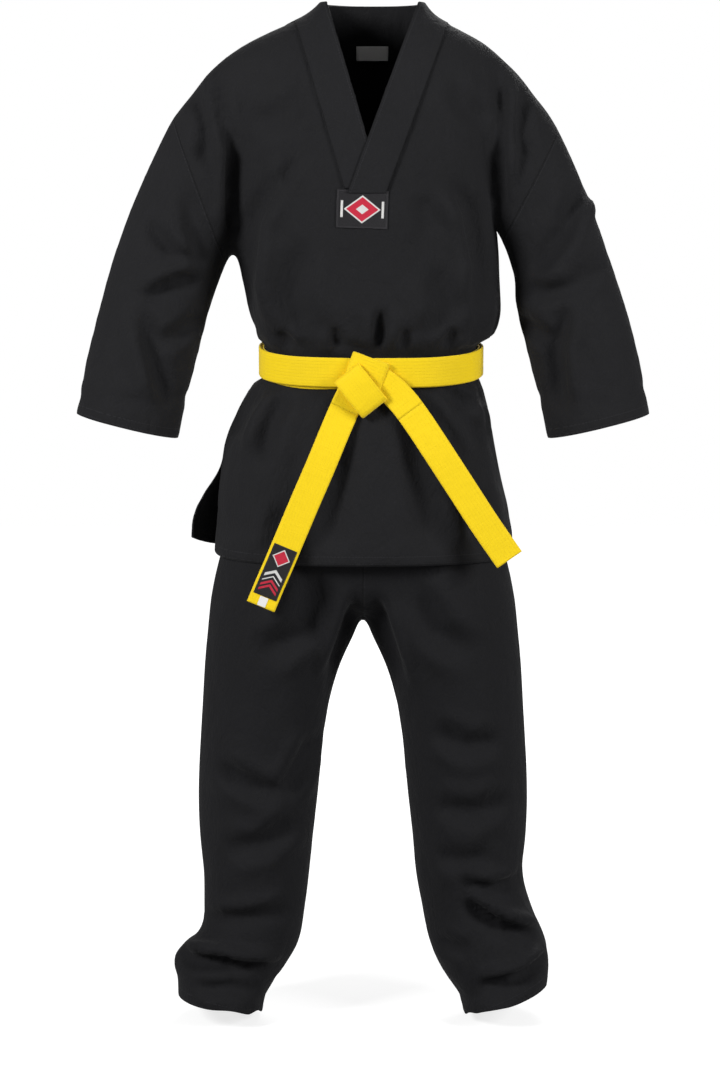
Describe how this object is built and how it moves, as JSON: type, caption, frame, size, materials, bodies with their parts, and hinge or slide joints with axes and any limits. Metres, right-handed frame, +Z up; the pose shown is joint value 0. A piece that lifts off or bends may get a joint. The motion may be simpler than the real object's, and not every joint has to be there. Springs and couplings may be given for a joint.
{
  "type": "martial arts uniform",
  "caption": "Worn-shape V-neck martial arts jacket with drawstring trousers and a knotted belt; sleeves, legs, skirts and belt tails move.",
  "frame": {"origin": "on the floor under the trouser hems, midway between the feet", "axes": "+Z up, chest towards -Y, wearer's left towards +X"},
  "size_m": [0.779, 0.2886, 1.4039],
  "materials": {
    "black_cloth": "matt poly-cotton twill",
    "trouser_cloth": "matt poly-cotton twill",
    "belt_cloth": "ribbed cotton drill, rows of stitching",
    "belt_filling": "plain cotton wadding",
    "badge_cloth": "satin embroidery",
    "white_tape": "woven tape",
    "elastic": "ribbed elastic",
    "cord": "braided cord",
    "eyelet_brass": "pressed and polished"
  },
  "bodies": {
    "body": {"jacket_front": "black_cloth", "jacket_back": "black_cloth", "collar_band_right": "black_cloth", "collar_band_left": "black_cloth", "collar_back": "black_cloth", "chest_patch": "badge_cloth", "neck_label": "white_tape", "belt_inner_turn": "belt_cloth", "belt_outer_turn": "belt_cloth", "belt_knot": "belt_cloth", "belt_keeper_loop": "belt_cloth", "trousers_front": "trouser_cloth", "trousers_back": "trouser_cloth", "crotch_gusset": "trouser_cloth", "waistband": "trouser_cloth", "waist_elastic": "elastic", "drawstring": "cord", "drawstring_ends": "cord", "drawstring_eyelets": "eyelet_brass"},
    "front_skirt": {"jacket_front_skirt": "black_cloth", "front_hem_facing": "black_cloth"},
    "back_skirt": {"jacket_back_skirt": "black_cloth", "back_hem_facing": "black_cloth"},
    "left_sleeve": {"left_sleeve_upper": "black_cloth"},
    "left_forearm": {"left_sleeve_lower": "black_cloth", "left_cuff_facing": "black_cloth"},
    "left_tail": {"left_tail_cover": "belt_cloth", "left_tail_core": "belt_filling"},
    "left_thigh": {"left_thigh_front": "trouser_cloth", "left_thigh_back": "trouser_cloth"},
    "left_shin": {"left_shin_front": "trouser_cloth", "left_shin_back": "trouser_cloth", "left_leg_facing": "trouser_cloth"},
    "right_sleeve": {"right_sleeve_upper": "black_cloth"},
    "right_forearm": {"right_sleeve_lower": "black_cloth", "right_cuff_facing": "black_cloth"},
    "right_tail": {"right_tail_cover": "belt_cloth", "right_tail_core": "belt_filling", "belt_label": "badge_cloth", "belt_rank_tape": "white_tape"},
    "right_thigh": {"right_thigh_front": "trouser_cloth", "right_thigh_back": "trouser_cloth"},
    "right_shin": {"right_shin_front": "trouser_cloth", "right_shin_back": "trouser_cloth", "right_leg_facing": "trouser_cloth"}
  },
  "joints": [
    {"name": "left_sleeve_raise", "type": "hinge", "parent": "body", "child": "left_sleeve", "pos_m": [0.185, 0, 1.255], "axis": [0, -1, 0], "range_deg": [0, 60]},
    {"name": "left_elbow_bend", "type": "hinge", "parent": "left_sleeve", "child": "left_forearm", "pos_m": [0.282, -0.016, 0.998], "axis": [-0.9563, 0, -0.2924], "range_deg": [0, 60]},
    {"name": "left_leg_swing", "type": "hinge", "parent": "body", "child": "left_thigh", "pos_m": [0.11, 0, 0.69], "axis": [-1, 0, 0], "range_deg": [-12, 12]},
    {"name": "left_knee_bend", "type": "hinge", "parent": "left_thigh", "child": "left_shin", "pos_m": [0.144, 0, 0.345], "axis": [1, 0, 0], "range_deg": [0, 50]},
    {"name": "right_sleeve_raise", "type": "hinge", "parent": "body", "child": "right_sleeve", "pos_m": [-0.185, 0, 1.255], "axis": [0, 1, 0], "range_deg": [0, 60]},
    {"name": "right_elbow_bend", "type": "hinge", "parent": "right_sleeve", "child": "right_forearm", "pos_m": [-0.282, -0.016, 0.998], "axis": [-0.9563, 0, 0.2924], "range_deg": [0, 60]},
    {"name": "right_leg_swing", "type": "hinge", "parent": "body", "child": "right_thigh", "pos_m": [-0.11, 0, 0.69], "axis": [-1, 0, 0], "range_deg": [-12, 12]},
    {"name": "right_knee_bend", "type": "hinge", "parent": "right_thigh", "child": "right_shin", "pos_m": [-0.144, 0, 0.345], "axis": [1, 0, 0], "range_deg": [0, 50]},
    {"name": "front_skirt_lift", "type": "hinge", "parent": "body", "child": "front_skirt", "pos_m": [0, -0.118, 0.855], "axis": [-1, 0, 0], "range_deg": [0, 12]},
    {"name": "back_skirt_lift", "type": "hinge", "parent": "body", "child": "back_skirt", "pos_m": [0, 0.118, 0.88], "axis": [1, 0, 0], "range_deg": [0, 12]},
    {"name": "left_tail_lift", "type": "hinge", "parent": "front_skirt", "child": "left_tail", "pos_m": [0.05, -0.13, 0.872], "axis": [-1, 0, 0], "range_deg": [0, 60]},
    {"name": "right_tail_lift", "type": "hinge", "parent": "front_skirt", "child": "right_tail", "pos_m": [-0.022, -0.13, 0.858], "axis": [-1, 0, 0], "range_deg": [0, 60]}
  ]
}
